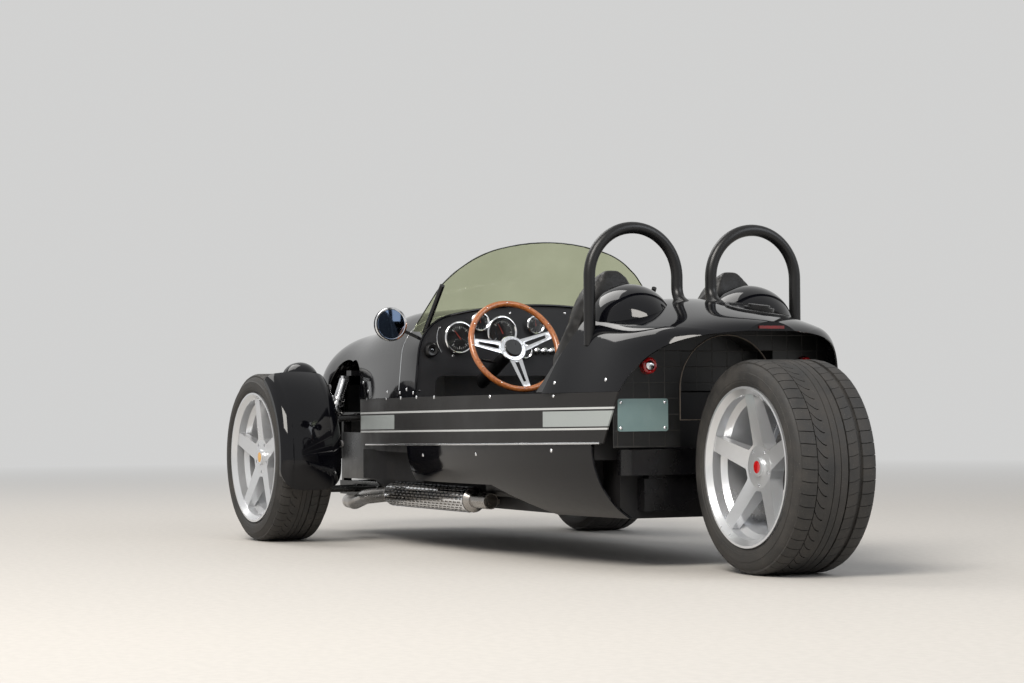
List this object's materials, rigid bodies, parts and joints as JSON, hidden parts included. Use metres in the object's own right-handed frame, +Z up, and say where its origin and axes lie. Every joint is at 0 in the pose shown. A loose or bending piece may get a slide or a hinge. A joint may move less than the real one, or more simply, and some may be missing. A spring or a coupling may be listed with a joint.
{
  "type": "three-wheeled open two-seat roadster",
  "caption": "Open two-seat three-wheeled roadster with two steered front wheels, one rear wheel, gloss black body and roll hoops",
  "frame": {"origin": "on the ground at mid length on the centreline, the centre of the bounding box's bottom", "axes": "+X forward, +Y to the car's left, +Z up"},
  "size_m": [3.5799, 1.608, 1.1059],
  "materials": {
    "dark_coat": "satin",
    "matte_grey": "matte",
    "gloss_black": "gloss",
    "matte_black": "matte",
    "chrome_trim": "polished",
    "plate_green": "satin",
    "red_lens": "gloss",
    "satin_black": "satin",
    "black_leather": "satin",
    "tinted_glass": "gloss",
    "cast_metal": "matte",
    "bright_metal": "satin",
    "exhaust_steel": "brushed",
    "wheel_silver": "satin",
    "tyre_rubber": "matte",
    "disc_iron": "machined",
    "rim_wood": "varnished"
  },
  "bodies": {
    "chassis": {"tub": "dark_coat", "side_panel_left": "matte_grey", "side_panel_right": "matte_grey", "skirt_left": "gloss_black", "skirt_right": "gloss_black", "nose": "gloss_black", "cowl": "gloss_black", "grille": "dark_coat", "dashboard": "matte_black", "gauges": "chrome_trim", "rear_deck": "gloss_black", "wheel_well": "dark_coat", "plate": "plate_green", "tail_lights": "red_lens", "roll_hoops": "satin_black", "head_fairings": "gloss_black", "seat_left": "black_leather", "seat_right": "black_leather", "windscreen": "tinted_glass", "screen_posts": "satin_black", "mirrors": "chrome_trim", "steering_column": "satin_black", "engine": "cast_metal", "front_frame": "satin_black", "wishbones": "satin_black", "coil_springs": "bright_metal", "headlamps": "chrome_trim", "rear_bar": "dark_coat", "swing_arm": "satin_black", "exhausts": "exhaust_steel", "fuel_cap": "satin_black"},
    "left_knuckle": {"knuckle_left": "cast_metal", "front_fender_left": "gloss_black"},
    "right_knuckle": {"knuckle_right": "cast_metal", "front_fender_right": "gloss_black"},
    "left_wheel": {"front_rim_left": "wheel_silver", "front_tyre_left": "tyre_rubber", "front_disc_left": "disc_iron"},
    "right_wheel": {"front_rim_right": "wheel_silver", "front_tyre_right": "tyre_rubber", "front_disc_right": "disc_iron"},
    "rear_wheel": {"rear_rim": "wheel_silver", "rear_tyre": "tyre_rubber", "rear_disc": "disc_iron"},
    "hand_wheel": {"steering_wheel": "rim_wood"}
  },
  "joints": [
    {"name": "left_steer", "type": "hinge", "parent": "chassis", "child": "left_knuckle", "pos_m": [1.115, 0.62, 0.3185], "axis": [0, 0, 1], "range_deg": [-22, 22]},
    {"name": "right_steer", "type": "hinge", "parent": "chassis", "child": "right_knuckle", "pos_m": [1.115, -0.62, 0.3185], "axis": [0, 0, 1], "range_deg": [-22, 22]},
    {"name": "hand_wheel_turn", "type": "hinge", "parent": "chassis", "child": "hand_wheel", "pos_m": [-0.022, 0.222, 0.722], "axis": [-0.9135, 0, 0.4067], "range_deg": [-270, 270]},
    {"name": "left_wheel_spin", "type": "hinge", "parent": "left_knuckle", "child": "left_wheel", "pos_m": [1.115, 0.684, 0.3185], "axis": [0, 1, 0], "continuous": true},
    {"name": "right_wheel_spin", "type": "hinge", "parent": "right_knuckle", "child": "right_wheel", "pos_m": [1.115, -0.684, 0.3185], "axis": [0, 1, 0], "continuous": true},
    {"name": "rear_wheel_spin", "type": "hinge", "parent": "chassis", "child": "rear_wheel", "pos_m": [-1.462, 0, 0.328], "axis": [0, 1, 0], "continuous": true}
  ],
  "couplings": [
    {"joint": "right_steer", "follows": "left_steer", "ratio": 1},
    {"joint": "hand_wheel_turn", "follows": "left_steer", "ratio": 12}
  ]
}
